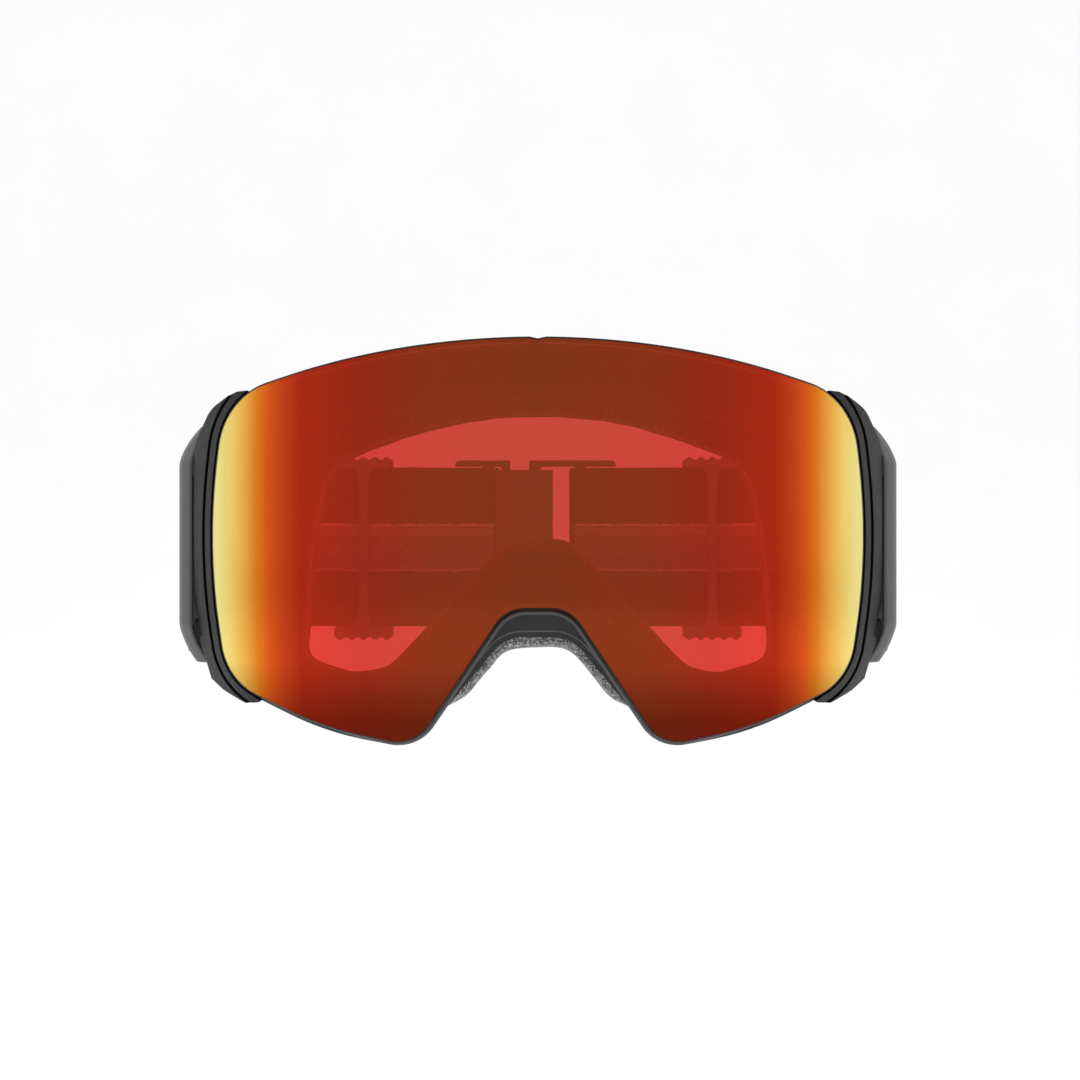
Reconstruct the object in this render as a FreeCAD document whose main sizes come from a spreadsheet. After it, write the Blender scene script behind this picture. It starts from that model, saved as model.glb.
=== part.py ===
"""Snow goggles with a one-piece magnetic lens, layered face foam and a clip strap.

The origin is the middle of the face opening, on the plane where the forehead
foam meets the head. +Z is up, the lens faces -Y and +X is the wearer's left.
All sizes are in millimetres.
"""
import FreeCAD
import Part

import math
import os

import Sketcher
from FreeCAD import Vector

os.makedirs("parts", exist_ok=True)
doc = FreeCAD.newDocument("goggles")

# ---------------------------------------------------------------- driving sizes
SIZES = {
    "lens_front": -52.0,         # front-most point of the lens
    "lens_radius": 95.0,         # horizontal wrap of the lens
    "lens_thick": 2.0,
    "inner_lens_thick": 0.8,
    "gasket_deep": 4.9,
    "gasket_wide": 4.2,
    "gasket_clear": 0.8,         # between the gasket and the window of the frame
    "glue_film": 0.05,           # between layers that are stuck together
    "face_radius": 85.0,         # horizontal wrap of the face side
    "nose_lift": 12.0,           # how far the foam reaches forward over the nose
    "nose_half": 16.0,
    "flange_gap": 3.4,           # from the lens front to the frame's front flange
    "wall": 2.0,
    "foam_deep": 20.0,           # frame's back flange to the face
    "carrier_thick": 1.0,
    "base_deep": 8.9,
    "mid_deep": 8.4,
    "fleece_thick": 1.5,
    "magnet_radius": 1.8,
    "magnet_thick": 1.6,
    "bracket_back": 9.6,
    "pin_place": 85.0,
    "pin_depth": 10.5,
    "pin_radius": 1.5,
    "pin_bore": 1.56,
    "ear_radius": 3.0,
    "knuckle_top": 16.2,
    "knuckle_bottom": -20.4,
    "ear_thick": 4.0,
    "ear_gap": 0.3,
    "strap_width": 48.0,
    "strap_thick": 1.6,
    "strap_return_thick": 1.4,
    "strap_middle": -2.1,        # height of the strap's centre line
    "strap_side": 88.0,
    "strap_back": 137.2,
    "strap_turn": 26.0,
    "bar_place": 89.6,
    "bar_depth": 31.0,
    "bar_radius": 1.5,
    "bar_loop": 2.55,            # strap centre line round the outrigger's bar
    "clip_loop_radius": 2.75,    # strap centre line round a clip bar
    "return_fold": 1.9,          # centre line round the slider's far rail
    "grip_thick": 0.5,
    "grip_top": 4.8,
    "grip_bottom": -9.4,
    "slider_place": 52.7,
    "slider_width": 17.6,
    "slider_height": 55.5,
    "slider_window": 49.0,
    "slider_front": 133.6,
    "slider_back": 141.8,
    "slider_bar": 3.8,
    "slider_bar_thick": 1.9,
    "slider_rail": 3.0,
    "slider_rail_thick": 2.0,
    "clip_thick": 2.5,
    "clip_top": 24.2,
    "clip_bottom": -28.3,
    "clip_arm": 1.8,
    "clip_bar_radius": 1.5,
    "tongue_top": 21.2,
    "tongue_bottom": -25.4,
    "hook_bar_place": -15.0,
    "loop_bar_place": 12.95,
    "outrigger_top": 24.9,
    "outrigger_bottom": -29.1,
    "outrigger_slot": 49.0,
}

sheet = doc.addObject("Spreadsheet::Sheet", "dims")
for row, (alias, number) in enumerate(SIZES.items(), start=1):
    sheet.set(f"A{row}", alias)
    sheet.set(f"B{row}", str(number))
    sheet.setAlias(f"B{row}", alias)
doc.recompute()


def size(alias):
    """One driving size, read back from the sheet."""
    return float(sheet.get(alias))


# ---------------------------------------------------------------- outlines
# Front-view outlines: corners of the right half as (x, z, corner radius), from the
# top of the centre line clockwise to the nose. The left half is the mirror image.
LENS_EDGE = [(0, 55.9, 240), (78.7, 35.6, 18), (83.45, 1, 150), (78.7, -35.5, 15),
             (52, -46, 90), (29.6, -50, 10), (7.3, -16.4, 8)]
FLANGE_EDGE = [(0, 54.6, 240), (77.4, 34.6, 17), (82.3, 1, 150), (77.9, -34.9, 14.5),
               (52, -46.3, 90), (29.2, -51, 11), (6.7, -17.8, 8)]
WINDOW_EDGE = [(0, 44.8, 202), (73.5, 26.5, 10), (75.6, 0, 180), (72.8, -29.5, 12),
               (52, -36.4, 60), (33.5, -38.2, 9), (8.5, -11, 8)]
FRAME_EDGE = [(0, 53.5, 235), (75, 35, 18), (80, 1, 150), (76.5, -37, 15),
              (52, -47, 80), (30.5, -50.5, 10), (7.8, -23, 9)]
FRAME_OPENING = [(0, 42.6, 150), (63, 24, 16), (68.5, -2, 140), (68, -32, 9),
                 (50, -37.5, 30), (36, -36.5, 9), (8.2, -3, 8)]
FOAM_EDGE = [(0, 52, 230), (70.5, 34, 18), (76.5, 0, 150), (74, -37, 14),
             (52, -46.5, 60), (31.5, -49.5, 9), (8.5, -26, 9)]
FACE_OPENING = [(0, 39.1, 118), (54.5, 20.3, 14), (59.4, -2, 180), (61.3, -31.8, 5),
                (47, -35.6, 16), (37.5, -33.6, 8), (7.4, -1.1, 7)]
# Side bracket, whole outline on the wearer's left.
BRACKET_EDGE = [(66, 37.2, 1), (76, 36.9, 6), (83, 33, 8), (88, 24.5, 6), (88, -27, 6),
                (86.2, -33.8, 4), (80, -38.2, 6), (73.5, -41, 3), (69, -40.4, 1)]
MAGNET_PLACES = [(30, 41.4), (58, 35), (77.9, 13), (74.6, -25), (55, -40.6)]

SIDES = {"left": 1, "right": -1}
REACH = 120.0            # longer than any piece is deep
GRID_STEP = 4.0
GRID_X = 23
GRID_Z = 15


def mirrored(corners):
    """The whole loop of an outline given by its right half."""
    return corners + [(-x, z, radius) for x, z, radius in reversed(corners[1:])]


def corner_points(before, corner, after, radius):
    """Start, middle and end of the arc that rounds a corner."""
    to_before = (before - corner).normalize()
    to_after = (after - corner).normalize()
    half_angle = to_before.getAngle(to_after) / 2
    inwards = (to_before + to_after).normalize()
    centre = corner + inwards * (radius / math.sin(half_angle))
    reach = radius / math.tan(half_angle)
    return corner + to_before * reach, centre - inwards * radius, corner + to_after * reach


def rounded_face(loop):
    """Flat face in the XZ plane inside a polygon with rounded corners."""
    points = [Vector(x, 0, z) for x, z, radius in loop]
    arcs = []
    for index, (x, z, radius) in enumerate(loop):
        after = points[(index + 1) % len(points)]
        arcs.append(corner_points(points[index - 1], points[index], after, radius))
    edges = []
    for index, (start, middle, end) in enumerate(arcs):
        edges.append(Part.Arc(start, middle, end).toShape())
        edges.append(Part.makeLine(end, arcs[(index + 1) % len(arcs)][0]))
    return Part.Face(Part.Wire(edges))


def grown(face, amount):
    """The face with its edge moved outwards, or inwards where amount is negative."""
    if amount == 0:
        return face
    return face.makeOffset2D(amount)


def prism(corners, grow=0.0):
    """Straight bar along Y with the outline as its section."""
    face = grown(rounded_face(mirrored(corners)), grow)
    face.translate(Vector(0, -REACH, 0))
    return face.extrude(Vector(0, 2 * REACH, 0))


# ---------------------------------------------------------------- curved surfaces
def wrapped(radius, across):
    """Depth of a circle of this radius, going on straight near its widest point."""
    limit = 0.9 * radius
    if abs(across) <= limit:
        return radius - math.sqrt(radius ** 2 - across ** 2)
    rise = math.sqrt(radius ** 2 - limit ** 2)
    return radius - rise + (abs(across) - limit) * limit / rise


def lens_depth(x, z):
    """Front of the lens: a tall barrel whose lower edge curls in to the face."""
    if z >= -15:
        curl = (z - 5) ** 2 / 600
    else:
        below = -15 - z
        curl = 0.667 + 0.0667 * below + below ** 2 / 150
    return size("lens_front") + curl + wrapped(size("lens_radius") - curl, x)


def face_depth(x, z):
    """Where the foam meets the face, brought forward over the nose."""
    blend = min(max((8 - z) / 25, 0), 1)
    blend = blend ** 2 * (3 - 2 * blend)
    nose = size("nose_lift") * math.exp(-(x / size("nose_half")) ** 2) * blend
    return wrapped(size("face_radius"), x) - nose


def patch(depth):
    """Smooth surface through a grid of depths."""
    grid = []
    for i in range(-GRID_X, GRID_X + 1):
        x = i * GRID_STEP
        grid.append([Vector(x, depth(x, j * GRID_STEP), j * GRID_STEP)
                     for j in range(-GRID_Z, GRID_Z + 1)])
    surface = Part.BSplineSurface()
    surface.interpolate(grid)
    return surface.toShape()


LENS_PATCH = patch(lens_depth)
FACE_PATCH = patch(face_depth)


def slab(surface, near, far):
    """The space between two copies of a curved surface."""
    face = surface.copy()
    face.translate(Vector(0, near, 0))
    return face.extrude(Vector(0, far - near, 0))


def ring(outer, inner, space):
    """A band between two straight bars, kept to one curved space."""
    return outer.cut(inner).common(space)


def solid_of(shape):
    """A single clean solid, or a compound where the piece is in several bits."""
    shape = shape.removeSplitter()
    if len(shape.Solids) == 1:
        return shape.Solids[0]
    return Part.makeCompound(shape.Solids)


def mirror_to(shape, side):
    """The shape itself on the wearer's left, its mirror image on the right."""
    if side > 0:
        return shape
    return shape.mirror(Vector(0, 0, 0), Vector(1, 0, 0))


subparts = []


def add_feature(name, shape):
    """A sub-part whose shape is built above from the sheet's sizes."""
    feature = doc.addObject("Part::Feature", name)
    feature.Label = name
    feature.Shape = solid_of(shape)
    feature.Placement = FreeCAD.Placement()
    subparts.append(feature)
    return feature


# ---------------------------------------------------------------- lens unit
def add_lens_unit():
    film = size("glue_film")
    thick = size("lens_thick")
    deep = thick + film + size("gasket_deep")
    clear = size("gasket_clear")
    add_feature("outer_lens", prism(LENS_EDGE).common(slab(LENS_PATCH, 0, thick)))
    plug = prism(WINDOW_EDGE, -clear)
    hollow = prism(WINDOW_EDGE, -clear - size("gasket_wide"))
    add_feature("lens_gasket", ring(plug, hollow, slab(LENS_PATCH, thick + film, deep)))
    pane = slab(LENS_PATCH, deep + film, deep + film + size("inner_lens_thick"))
    add_feature("inner_lens", plug.common(pane))
    keeper_space = slab(LENS_PATCH, thick + film, thick + film + 0.9)
    add_feature("lens_keepers", magnet_posts(size("magnet_radius")).common(keeper_space))
    lug = Part.makeBox(1.3, 30, 16, Vector(79.3, -20, -8))
    lug = lug.common(slab(LENS_PATCH, thick + film, 17))
    for name, side in SIDES.items():
        add_feature(f"lens_lug_{name}", mirror_to(lug, side))


def magnet_posts(radius):
    """Posts along Y at every magnet, both sides of the centre line."""
    posts = []
    for x, z in MAGNET_PLACES:
        for side in SIDES.values():
            start = Vector(side * x, -REACH, z)
            posts.append(Part.makeCylinder(radius, 2 * REACH, start, Vector(0, 1, 0)))
    return Part.makeCompound(posts)


# ---------------------------------------------------------------- frame
def lug_room(height, inner, outer):
    """Clearance for both locating lugs of the lens."""
    room = Part.makeBox(outer - inner, 60, height, Vector(inner, -40, -height / 2))
    return Part.makeCompound([mirror_to(room, side) for side in SIDES.values()])


def vent_slots():
    """Rows of openings through the top and bottom walls."""
    top = [Part.makeBox(13, 2 * REACH, 60, Vector(x - 6.5, -REACH, 20))
           for x in (-51, -34, -17, 0, 17, 34, 51)]
    bottom = [Part.makeBox(10, 2 * REACH, 60, Vector(x - 5, -REACH, -80))
              for x in (-57, -43, 43, 57)]
    return Part.makeCompound(top + bottom).common(slab(LENS_PATCH, 10, 17))


def add_frame():
    gap = size("flange_gap")
    wall = size("wall")
    back = -size("foam_deep")
    window = prism(WINDOW_EDGE)
    body = prism(FRAME_EDGE)
    front = prism(FLANGE_EDGE).fuse(body)
    flange = ring(front, window, slab(LENS_PATCH, gap, gap + wall))
    tube = ring(body, prism(FRAME_EDGE, -wall), slab(LENS_PATCH, gap + wall / 2, REACH))
    tube = tube.common(slab(FACE_PATCH, -REACH, back - wall / 2))
    rear = ring(body, prism(FRAME_OPENING), slab(FACE_PATCH, back - wall, back))
    frame = flange.fuse([tube, rear])
    pocket = slab(LENS_PATCH, gap - 1, gap + size("magnet_thick") + 0.1)
    film = size("glue_film")
    frame = frame.cut(magnet_posts(size("magnet_radius") + film).common(pocket))
    frame = frame.cut(vent_slots())
    frame = frame.cut(lug_room(17, 79.0, 90).common(slab(LENS_PATCH, 0, 24)))
    add_feature("frame", frame)
    magnet_space = slab(LENS_PATCH, gap + 0.05, gap + size("magnet_thick") + 0.05)
    add_feature("frame_magnets", magnet_posts(size("magnet_radius")).common(magnet_space))


def add_foam():
    film = size("glue_film")
    opening = prism(FACE_OPENING)
    outer = prism(FOAM_EDGE)
    depth = -size("foam_deep") + film
    carrier = slab(FACE_PATCH, depth, depth + size("carrier_thick"))
    plate = ring(prism(FRAME_EDGE, -0.6), prism(FRAME_OPENING), carrier)
    add_feature("foam_carrier", plate)
    depth += size("carrier_thick") + film
    layers = [("foam_base", "base_deep"), ("foam_mid", "mid_deep")]
    for name, alias in layers:
        space = slab(FACE_PATCH, depth, depth + size(alias))
        add_feature(name, ring(outer, opening, space))
        depth += size(alias) + film
    fleece = slab(FACE_PATCH, -size("fleece_thick"), 0)
    add_feature("face_fleece", ring(outer, opening, fleece))


def add_vent_foam():
    film = size("glue_film")
    strip = ring(prism(FRAME_EDGE, -size("wall") - film), prism(FRAME_EDGE, -size("wall") - 2.4),
                 slab(LENS_PATCH, 8.5, 18.5))
    top = Part.makeBox(126, 2 * REACH, 60, Vector(-63, -REACH, 20))
    add_feature("vent_foam_top", strip.common(top))
    bottom = Part.makeBox(28, 2 * REACH, 60, Vector(36, -REACH, -85))
    both = Part.makeCompound([mirror_to(bottom, side) for side in SIDES.values()])
    add_feature("vent_foam_bottom", strip.common(both))


# ---------------------------------------------------------------- side brackets and pins
def add_brackets():
    film = size("glue_film")
    place = Vector(size("pin_place"), size("pin_depth"), 0)
    shell = rounded_face([(x, z, radius) for x, z, radius in BRACKET_EDGE])
    shell.translate(Vector(0, -REACH, 0))
    shell = shell.extrude(Vector(0, REACH + size("bracket_back"), 0))
    shell = shell.common(slab(LENS_PATCH, 0.3, 60))
    shell = shell.cut(prism(FRAME_EDGE, film))
    lens_room = size("flange_gap") + size("wall") + film
    shell = shell.cut(prism(LENS_EDGE, 0.4).common(slab(LENS_PATCH, -1, lens_room)))
    groove = prism(LENS_EDGE, 3.0).cut(prism(LENS_EDGE, 2.2))
    shell = shell.cut(groove.common(slab(LENS_PATCH, -1, 1.8)))
    shell = shell.cut(lug_room(17, 78.5, 81.2).common(slab(LENS_PATCH, 0, 24)))
    ears = []
    ear_top = size("knuckle_top") + size("ear_gap")
    ear_low = size("knuckle_bottom") - size("ear_gap") - size("ear_thick")
    for low in (ear_top, ear_low):
        radius = size("ear_radius")
        ear = Part.makeCylinder(radius, size("ear_thick"), place + Vector(0, 0, low))
        length = place.y - size("bracket_back") + 1
        foot = Vector(place.x - radius, size("bracket_back") - 1, low)
        ears.append(ear.fuse(Part.makeBox(2 * radius, length, size("ear_thick"), foot)))
    knuckle_low = size("knuckle_bottom") - size("ear_gap")
    room = Part.makeCylinder(size("ear_radius") + 0.4, ear_top - knuckle_low,
                             place + Vector(0, 0, knuckle_low))
    bore = Part.makeCylinder(size("pin_radius") + 0.02, 80, place + Vector(0, 0, -40))
    bracket = shell.fuse(ears).cut(room).cut(bore)
    for name, side in SIDES.items():
        add_feature(f"side_bracket_{name}", mirror_to(bracket, side))


def add_pins():
    """Steel pins, each standing in the two ears of its bracket."""
    for name, side in SIDES.items():
        pin = doc.addObject("Part::Cylinder", f"outrigger_pin_{name}")
        pin.Label = f"outrigger_pin_{name}"
        pin.setExpression("Radius", "<<dims>>.pin_radius")
        pin.setExpression("Height", "<<dims>>.knuckle_top - <<dims>>.knuckle_bottom"
                                    " + 2 * <<dims>>.ear_gap + 2 * <<dims>>.ear_thick")
        sign = "" if side > 0 else "-"
        pin.setExpression(".Placement.Base.x", f"{sign}<<dims>>.pin_place")
        pin.setExpression(".Placement.Base.y", "<<dims>>.pin_depth")
        pin.setExpression(".Placement.Base.z", "<<dims>>.knuckle_bottom"
                                               " - <<dims>>.ear_gap - <<dims>>.ear_thick")
        subparts.append(pin)


# ---------------------------------------------------------------- part design helpers
def new_body(name):
    body = doc.addObject("PartDesign::Body", name)
    body.Label = name
    subparts.append(body)
    return body


def origin_plane(body, role):
    return next(item for item in body.Origin.OriginFeatures if item.Role == role)


def new_sketch(body, role, name):
    sketch = body.newObject("Sketcher::SketchObject", name)
    sketch.AttachmentSupport = (origin_plane(body, role), [""])
    sketch.MapMode = "FlatFace"
    return sketch


def draw_loop(sketch, points):
    """Closed polygon of straight lines, joined end to end."""
    first = sketch.GeometryCount
    count = len(points)
    for index, point in enumerate(points):
        after = points[(index + 1) % count]
        sketch.addGeometry(Part.LineSegment(Vector(*point, 0), Vector(*after, 0)))
    for index in range(count):
        after = first + (index + 1) % count
        sketch.addConstraint(Sketcher.Constraint("Coincident", first + index, 2, after, 1))


def draw_rectangle(sketch, x_range, z_range, width=None, height=None):
    """Rectangle whose width and height can follow the sheet."""
    first = sketch.GeometryCount
    (left, right), (low, high) = x_range, z_range
    draw_loop(sketch, [(left, low), (right, low), (right, high), (left, high)])
    for edge, kind in enumerate(("Horizontal", "Vertical", "Horizontal", "Vertical")):
        sketch.addConstraint(Sketcher.Constraint(kind, first + edge))
    bind_length(sketch, "DistanceX", first, right - left, width)
    bind_length(sketch, "DistanceY", first + 1, high - low, height)
    bind_corner(sketch, first, left, low)


def bind_corner(sketch, edge, left, low):
    sketch.addConstraint(Sketcher.Constraint("DistanceX", -1, 1, edge, 1, left))
    sketch.addConstraint(Sketcher.Constraint("DistanceY", -1, 1, edge, 1, low))


def bind_length(sketch, kind, edge, length, expression):
    index = sketch.addConstraint(Sketcher.Constraint(kind, edge, 1, edge, 2, length))
    if expression:
        sketch.setExpression(f"Constraints[{index}]", expression)


def draw_circle(sketch, centre, alias):
    index = sketch.addGeometry(Part.Circle(Vector(*centre, 0), Vector(0, 0, 1), size(alias)))
    sketch.addConstraint(Sketcher.Constraint("DistanceX", -1, 1, index, 3, centre[0]))
    sketch.addConstraint(Sketcher.Constraint("DistanceY", -1, 1, index, 3, centre[1]))
    radius = sketch.addConstraint(Sketcher.Constraint("Radius", index, size(alias)))
    sketch.setExpression(f"Constraints[{radius}]", f"<<dims>>.{alias}")


def add_pad(body, sketch, name, low, high):
    """Pad from one height to another; both are expressions on the sheet."""
    pad = body.newObject("PartDesign::Pad", name)
    pad.Profile = sketch
    sketch.setExpression(".AttachmentOffset.Base.z", low)
    pad.setExpression("Length", f"({high}) - ({low})")
    doc.recompute()
    return pad


def cut_through(body, sketch, name):
    """Pocket both ways through the whole body."""
    before = body.Shape.Volume
    pocket = body.newObject("PartDesign::Pocket", name)
    pocket.Profile = sketch
    pocket.Type = "ThroughAll"
    pocket.Midplane = True
    doc.recompute()
    if body.Shape.Volume > before - 0.001:
        raise RuntimeError(f"{name} cuts nothing")
    return pocket


# ---------------------------------------------------------------- outriggers
def add_outriggers():
    """Swinging arms outside the brackets, each with a bar for the strap."""
    pin_x, pin_y = size("pin_place"), size("pin_depth")
    bar_x, bar_y = size("bar_place"), size("bar_depth")
    wing = [(89.0, 7.0), (92.9, 14.5), (92.9, 25.0), (91.3, 28.5), (91.3, bar_y),
            (87.9, bar_y), (87.9, 28.5), (90.2, 25.0), (90.2, 15.0), (88.8, 9.0)]
    bridge = [(pin_x, pin_y + 0.2), (91.0, pin_y + 0.2), (91.0, pin_y + 3), (pin_x, pin_y + 3)]
    top, low = size("outrigger_top"), size("outrigger_bottom")
    nose_top, nose_low = 20.6, -25.6
    for name, side in SIDES.items():
        body = new_body(f"outrigger_{name}")
        plan = new_sketch(body, "XY_Plane", f"outrigger_{name}_plan")
        draw_loop(plan, [(side * x, y) for x, y in wing])
        add_pad(body, plan, f"outrigger_{name}_wing",
                "<<dims>>.outrigger_bottom", "<<dims>>.outrigger_top")
        slot = new_sketch(body, "YZ_Plane", f"outrigger_{name}_slot")
        middle = size("strap_middle")
        half = size("outrigger_slot") / 2
        draw_rectangle(slot, (27.3, 40), (middle - half, middle + half),
                       height="<<dims>>.outrigger_slot")
        cut_through(body, slot, f"outrigger_{name}_slot_cut")
        slope = new_sketch(body, "YZ_Plane", f"outrigger_{name}_slope")
        draw_loop(slope, [(6, nose_top), (22, top), (6, top + 5)])
        draw_loop(slope, [(6, nose_low), (6, low - 5), (22, low)])
        cut_through(body, slope, f"outrigger_{name}_slope_cut")
        bar = new_sketch(body, "XY_Plane", f"outrigger_{name}_bar_plan")
        draw_circle(bar, (side * bar_x, bar_y), "bar_radius")
        add_pad(body, bar, f"outrigger_{name}_bar",
                "<<dims>>.outrigger_bottom", "<<dims>>.outrigger_top")
        link = new_sketch(body, "XY_Plane", f"outrigger_{name}_link_plan")
        draw_loop(link, [(side * x, y) for x, y in bridge])
        add_pad(body, link, f"outrigger_{name}_link",
                "<<dims>>.knuckle_bottom", "<<dims>>.knuckle_top")
        knuckle = new_sketch(body, "XY_Plane", f"outrigger_{name}_knuckle_plan")
        draw_circle(knuckle, (side * pin_x, pin_y), "ear_radius")
        add_pad(body, knuckle, f"outrigger_{name}_knuckle",
                "<<dims>>.knuckle_bottom", "<<dims>>.knuckle_top")
        bore = new_sketch(body, "XY_Plane", f"outrigger_{name}_bore_plan")
        draw_circle(bore, (side * pin_x, pin_y), "pin_bore")
        cut_through(body, bore, f"outrigger_{name}_bore")


# ---------------------------------------------------------------- strap
def band_face(path, thick):
    """Plan view of a strip: a path of (x, y, corner radius) given some thickness."""
    points = [Vector(x, y, 0) for x, y, radius in path]
    up = Vector(0, 0, 1)
    left, right = [], []

    def step(start, end):
        across = (end - start).normalize().cross(up) * (thick / 2)
        left.append(Part.makeLine(start - across, end - across))
        right.append(Part.makeLine(start + across, end + across))

    here = points[0]
    for index in range(1, len(points) - 1):
        start, middle, end = corner_points(points[index - 1], points[index],
                                           points[index + 1], path[index][2])
        if (start - here).Length > 1e-4:
            step(here, start)
        inwards = (points[index - 1] + points[index + 1] - points[index] * 2).normalize()
        centre = corner_centre(points[index - 1], points[index], points[index + 1],
                               path[index][2])
        turns_left = (points[index] - points[index - 1]).cross(inwards).z > 0
        for edges, closer in ((left, turns_left), (right, not turns_left)):
            scale = 1 - (1 if closer else -1) * thick / 2 / path[index][2]
            edges.append(Part.Arc(*(centre + (p - centre) * scale
                                    for p in (start, middle, end))).toShape())
        here = end
    step(here, points[-1])
    ends = [Part.makeLine(left[-1].Vertexes[-1].Point, right[-1].Vertexes[-1].Point),
            Part.makeLine(right[0].Vertexes[0].Point, left[0].Vertexes[0].Point)]
    edges = left + [ends[0]] + list(reversed(right)) + [ends[1]]
    return Part.Face(Part.Wire(Part.__sortEdges__(edges)))


def corner_centre(before, corner, after, radius):
    """Centre of the arc that rounds a corner."""
    to_before = (before - corner).normalize()
    to_after = (after - corner).normalize()
    half_angle = to_before.getAngle(to_after) / 2
    return corner + (to_before + to_after).normalize() * (radius / math.sin(half_angle))


def band(path, thick, low, high):
    """Upright strip along a path in plan."""
    face = band_face(path, thick)
    face.translate(Vector(0, 0, low))
    return face.extrude(Vector(0, 0, high - low))


def strap_path(clip_bar):
    """Strap from its hem on the outrigger to the fold round a clip bar."""
    side = size("strap_side")
    back = size("strap_back")
    loop = size("bar_loop")
    inner, outer = size("bar_place") - loop, size("bar_place") + loop
    tip = size("bar_depth") - loop
    hem = side + size("strap_thick") + 0.1
    fold = size("clip_loop_radius")
    return [(hem, 54, 0), (hem, 42, 6), (outer, 36, 6), (outer, tip, loop * 0.999),
            (inner, tip, loop * 0.999), (inner, 36, 8), (side, 44, 8),
            (side, back, size("strap_turn")),
            (clip_bar - fold, back, fold * 0.999),
            (clip_bar - fold, back + 2 * fold, fold * 0.999), (clip_bar + 3, back + 2 * fold, 0)]


def return_path(clip_bar):
    """Free end of the strap: out to the slider's far rail and back to its hem."""
    outer = size("strap_back") + 2 * size("clip_loop_radius")
    fold = size("return_fold")
    turn = size("slider_place") + size("slider_width") / 2 + fold + 0.1
    inner = outer - 2 * fold
    hem = outer - size("strap_return_thick") - 0.1
    return [(clip_bar + 3.05, outer, 0), (turn, outer, fold * 0.999),
            (turn, inner, fold * 0.999), (42, inner, 6), (36, hem, 6), (27, hem, 0)]


def add_straps():
    middle = size("strap_middle")
    low, high = middle - size("strap_width") / 2, middle + size("strap_width") / 2
    bars = {"left": size("loop_bar_place"), "right": -size("hook_bar_place")}
    for name, side in SIDES.items():
        strap = band(strap_path(bars[name]), size("strap_thick"), low, high)
        add_feature(f"strap_{name}", mirror_to(strap, side))
        tail = band(return_path(bars[name]), size("strap_return_thick"), low, high)
        add_feature(f"strap_return_{name}", mirror_to(tail, side))
        offset = (size("strap_thick") + size("grip_thick")) / 2 + 0.02
        turn = size("strap_turn") - offset
        path = [(size("strap_side") - offset, 70, 0),
                (size("strap_side") - offset, size("strap_back") - offset, turn),
                (bars[name] + 2, size("strap_back") - offset, 0)]
        grip = band(path, size("grip_thick"), size("grip_bottom"), size("grip_top"))
        add_feature(f"strap_grip_{name}", mirror_to(grip, side))


# ---------------------------------------------------------------- sliders
def add_sliders():
    """Strap adjusters: a frame behind the strap with one bar in front of it."""
    width, height = size("slider_width"), size("slider_height")
    middle = -2.55
    window = size("slider_window")
    rail = size("slider_rail")
    for name, side in SIDES.items():
        body = new_body(f"slider_{name}")
        ends = new_sketch(body, "XZ_Plane", f"slider_{name}_outline")
        draw_rectangle(ends, (-width / 2, width / 2), (middle - height / 2, middle + height / 2),
                       width="<<dims>>.slider_width", height="<<dims>>.slider_height")
        add_pad(body, ends, f"slider_{name}_block", "-<<dims>>.slider_back",
                "-<<dims>>.slider_front")
        front = new_sketch(body, "YZ_Plane", f"slider_{name}_strap_path")
        gap_front = size("slider_front") + size("slider_bar_thick")
        gap_back = size("slider_back") - size("slider_rail_thick")
        strap_middle = size("strap_middle")
        draw_rectangle(front, (gap_front, gap_back),
                       (strap_middle - window / 2, strap_middle + window / 2),
                       height="<<dims>>.slider_window")
        cut_through(body, front, f"slider_{name}_strap_gap")
        eyes = new_sketch(body, "XZ_Plane", f"slider_{name}_eyes")
        eyes.setExpression(".AttachmentOffset.Base.z", "-<<dims>>.slider_back")
        draw_rectangle(eyes, (-width / 2 + rail, width / 2 - rail),
                       (strap_middle - window / 2, strap_middle + window / 2))
        cut_depth(body, eyes, f"slider_{name}_rails", "<<dims>>.slider_rail_thick")
        sides = new_sketch(body, "XZ_Plane", f"slider_{name}_sides")
        sides.setExpression(".AttachmentOffset.Base.z", "-<<dims>>.slider_front")
        bar = size("slider_bar") / 2
        for left, right in ((-width / 2 - 1, -bar), (bar, width / 2 + 1)):
            draw_rectangle(sides, (left, right),
                           (strap_middle - window / 2, strap_middle + window / 2))
        cut_depth(body, sides, f"slider_{name}_bar", "<<dims>>.slider_bar_thick", inwards=True)
        sign = "" if side > 0 else "-"
        body.setExpression(".Placement.Base.x", f"{sign}<<dims>>.slider_place")


def cut_depth(body, sketch, name, depth, inwards=False):
    """Pocket to a depth given by the sheet, from either face of the body."""
    before = body.Shape.Volume
    pocket = body.newObject("PartDesign::Pocket", name)
    pocket.Profile = sketch
    pocket.setExpression("Length", depth)
    pocket.Reversed = not inwards
    doc.recompute()
    if body.Shape.Volume > before - 0.001:
        raise RuntimeError(f"{name} cuts nothing")


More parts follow.
